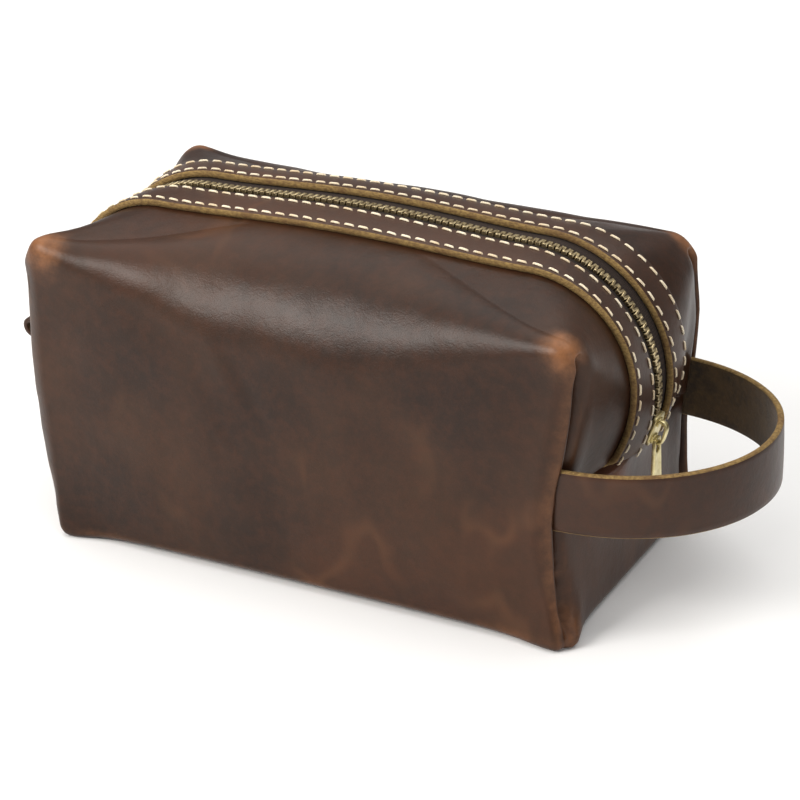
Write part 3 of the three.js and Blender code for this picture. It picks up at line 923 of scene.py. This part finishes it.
def smoothLine(points, count):
    # an even run of points on a smooth curve through the given ones
    dense = []
    for k in range(len(points) - 1):
        a, b = points[max(k - 1, 0)], points[k]
        c, d = points[k + 1], points[min(k + 2, len(points) - 1)]
        for t in np.linspace(0, 1, 12, endpoint=False):
            dense.append(0.5 * (2 * b + (c - a) * t + (2 * a - 5 * b + 4 * c - d) * t ** 2
                                + (3 * b - a - 3 * c + d) * t ** 3))
    dense = np.array(dense + [points[-1]])
    run = np.concatenate([[0], np.cumsum(np.linalg.norm(np.diff(dense, axis=0), axis=1))])
    even = np.linspace(0, run[-1], count)
    return np.stack([np.interp(even, run, dense[:, k]) for k in range(3)], 1)


pull = {
    # half outlines in mm: up from the top of the plate, then across it
    "outline": [(0, 1.9), (-0.5, 2.9), (-4, 3.3), (-8, 3.5), (-22, 4.5), (-26, 4.6), (-27.4, 4), (-28, 2.8)],
    "eye": [(-1, 1.4), (-1.8, 1.85), (-5.5, 1.85), (-6.5, 1)], "thick": 1.4,
}


def pullTab(finish):
    # a solid plate that widens to its foot, with an eye for the bridge
    half = pull["thick"] / 2
    piece = plateOutline("pullTab", pull["outline"], -half, half)
    eye = plateOutline("pullEye", pull["eye"], -3 * half, 3 * half)
    applyModifier(piece, "BOOLEAN", operation="DIFFERENCE", object=eye, solver="EXACT")
    bpy.data.objects.remove(eye)
    softenEdges(piece, 0.22 * mm, 40)
    upright = Matrix.Rotation(math.radians(-90), 4, "Y")
    piece.data.transform(Matrix.Translation(((pullLow.x + pullHigh.x) / 2, 0, pullHigh.z)) @ upright)
    piece.data.materials.append(finish)
    piece.data.shade_smooth()
    piece.data.set_sharp_from_angle(angle=math.radians(35))
    return piece


# the carrying loop and the end tab, cut from the same strap leather
strap = {
    "thick": 2.6 * mm, "wide": 26.8 * mm, "middle": 63 * mm, "root": 108 * mm, "halfSpan": 58 * mm,
    "reach": 68.4 * mm, "lift": 1.2 * mm, "lean": 2.5, "steps": 90,
    # finish of each side of the section's outline: raw edge, underside, raw edge, grain
    "around": [2, 2, 2, 2] + [1] * 6 + [2, 2, 2, 2] + [0] * 6,
}


def strapRing(point, out, up, thick, wide, crown=0.25 * mm):
    half, high = thick / 2, wide / 2
    r = 0.5 * mm
    edge = [(half, high - r), (half - r, high), (0, high + 0.08 * mm), (-half + r, high), (-half, high - r)]
    outline = edge + [(-half, high * t) for t in (0.8, 0.4, 0, -0.4, -0.8)]
    outline += [(a, -b) for a, b in reversed(edge)]
    outline += [(half + crown * (1 - t * t), high * t) for t in (-0.8, -0.4, 0, 0.4, 0.8)]
    return np.array([point + out * a + up * b for a, b in outline])


def strapPiece(name, rings, finishes):
    vertices, faces = sweep(rings)
    around = strap["around"]
    materials = [around[k % len(around)] for k in range((len(rings) - 1) * len(around))] + [2, 2]
    piece = newMesh(name, vertices, faces, finishes, materials)
    tidyNormals(piece)
    return piece


def handleStrap(finishes):
    # a soft loop: a little fuller than an ellipse towards its far end
    angles = np.linspace(-math.pi / 2, math.pi / 2, strap["steps"])
    points, rings = [], []
    for angle in angles:
        c, s = math.cos(angle), math.sin(angle)
        x = strap["root"] + strap["reach"] * max(c, 0) ** 0.92
        points.append(np.array([x, strap["halfSpan"] * s, strap["middle"] + strap["lift"] * c]))
    for k, p in enumerate(points):
        along = points[min(k + 1, len(points) - 1)] - points[max(k - 1, 0)]
        along /= np.linalg.norm(along)
        lean = math.radians(strap["lean"]) * math.sin(angles[k])
        up = np.array([0, 0, 1.0])
        out = np.cross(along, up)
        out /= np.linalg.norm(out)
        tilt = out * math.cos(lean) + up * math.sin(lean)
        top = up * math.cos(lean) - out * math.sin(lean)
        rings.append(strapRing(p, tilt, top, strap["thick"], strap["wide"]))
    return strapPiece("handleStrap", rings, finishes)


tabFold = {
    "root": -122 * mm, "height": 60 * mm, "thick": 2.3 * mm, "wide": 22 * mm, "long": 44.4, "curl": 5 * mm,
    # one layer in mm: out from the root, then its extra rise towards the fold
    "layer": [(0, 0), (12, 0), (24, 0.2), (34, 1.4), (40, 2.2), (43.4, 1.2)],
}


def endTab(finishes):
    # a strap folded in two, its fold furthest out
    root, height, thick = tabFold["root"], tabFold["height"], tabFold["thick"]
    layer = thick / 2 + 0.1 * mm
    upper = [(root - far * mm, layer + rise * mm) for far, rise in tabFold["layer"]]
    line = [(x, 0, height + z) for x, z in upper] + [(root - tabFold["long"] * mm, 0, height)]
    line += [(x, 0, height - z) for x, z in reversed(upper)]
    points = smoothLine(np.array(line), 90)
    points[:, 2] += tabFold["curl"] * ((root - points[:, 0]) / (44 * mm)) ** 2          # it curls up a little
    rings = []
    for k, p in enumerate(points):
        along = points[min(k + 1, len(points) - 1)] - points[max(k - 1, 0)]
        along /= np.linalg.norm(along)
        side = np.array([0, 1.0, 0])
        out = np.cross(side, along)
        rings.append(strapRing(p, out, side, thick, tabFold["wide"], 0.1 * mm))
    return strapPiece("endTab", rings, finishes)


# the threads that close the seams, inside the leather
seam = {
    "pitch": 6.3 * mm, "wave": 0.9 * mm, "thick": 0.45 * mm,
    # in mm: a corner's thread stands at this x and y, an end's runs across at this x and height
    "cornerX": 102, "cornerY": 52, "cornerLow": 10, "cornerHigh": 112, "endX": 106, "endY": 46, "endHeight": 60,
}


def seamThread(name, start, end, out, finish):
    # one running thread from start to end, weaving to and fro along out
    start, end, out = (np.array(v, float) * mm for v in (start, end, out))
    steps = np.linspace(0, 1, 121)
    turns = np.linalg.norm(end - start) / seam["pitch"] * 2 * math.pi
    weaving = np.tanh(2 * np.sin(steps * turns)) * seam["wave"]
    line = start + steps[:, None] * (end - start) + weaving[:, None] * out / mm
    along = (end - start) / np.linalg.norm(end - start)
    side = np.cross(along, out)
    side /= np.linalg.norm(side)
    over = np.cross(side, along)
    angles = np.linspace(0, 2 * math.pi, 8, endpoint=False)
    ring = seam["thick"] * (np.outer(np.cos(angles), side) + np.outer(np.sin(angles), over))
    vertices, faces = sweep([point + ring for point in line])
    piece = newMesh(name, vertices, faces, [finish])
    tidyNormals(piece)
    return piece


# everything together
leather = waxedLeather("waxedLeather")
stripLeather = waxedLeather("stripLeather", rgb(72, 50, 38), rgb(54, 37, 28), 0.4)
strapLeather = waxedLeather("strapLeather", rgb(58, 38, 27), rgb(46, 30, 21), 0.3)
cutEdge, suede = rawEdge("cutEdge"), fleshSide("suedeSide")
brassDark, brassLight = agedBrass("agedBrass"), lightBrass("lightBrass")
thread, weave = waxedThread("waxedThread"), wovenTape("wovenTape")
print("finishes ready")

halves = {"Front": (-1, "mouth_front"), "Back": (1, "mouth_back")}
for half, (side, body) in halves.items():
    low = half.lower()
    made = [
        (leatherHalf("leather" + half, side, [leather, suede, cutEdge]), "body_leather", "body_leather"),
        (zipStrip("zipStrip" + half, side, [stripLeather, suede, cutEdge]), "zip_strip_" + low, "strip_leather"),
        (zipTape("zipTape" + half, side, weave), "zip_tape_" + low, "zip_tape"),
        (zipTeeth("zipTeeth" + half, side, brassDark), "zip_teeth_" + low, "antique_metal"),
    ]
    for k, (row, y) in enumerate(stitch["rows"].items()):
        piece = stitchRow("stitch" + half + row.title(), side, y, thread, 10 + k + side)
        made.append((piece, "stitch_row_" + low + "_" + row, "cream_thread"))
    for piece, node, slot in made:
        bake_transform(piece)
        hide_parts(node)
    print(half, "half made")

hardware = [
    (sliderBody(brassLight), "slider", "slider_body"), (sliderBridge(brassLight), "slider", "slider_bridge"),
    (pullTab(brassLight), "pull", "pull_tab"),
]
for piece, body, node in hardware:
    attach(piece, body)
    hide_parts(node)
print("slider made")

loop = handleStrap([strapLeather, suede, cutEdge])
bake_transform(loop)
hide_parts("handle_strap")
tab = endTab([strapLeather, suede, strapLeather])
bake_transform(tab)
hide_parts("end_tab")
print("loop and tab made")

for end, x in {"left": -1, "right": 1}.items():
    for half, (side, body) in halves.items():
        node = "corner_thread_" + end + "_" + half.lower()
        upright = (seam["cornerX"] * x, seam["cornerY"] * side)
        piece = seamThread("cornerThread" + end.title() + half, (*upright, seam["cornerLow"]),
                           (*upright, seam["cornerHigh"]), (x, side, 0), thread)
        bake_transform(piece)
        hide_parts(node)
    piece = seamThread("endSeamThread" + end.title(), (seam["endX"] * x, -seam["endY"], seam["endHeight"]),
                       (seam["endX"] * x, seam["endY"], seam["endHeight"]), (0, 0, 1), thread)
    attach(piece, "bag")
    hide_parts("end_seam_thread_" + end)
print("seam threads made")

for name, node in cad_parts.items():
    if "stop" in name:
        for slotHere in node.material_slots:
            slotHere.material = brassDark

makeCamera()
makeLights()
makeFloor()
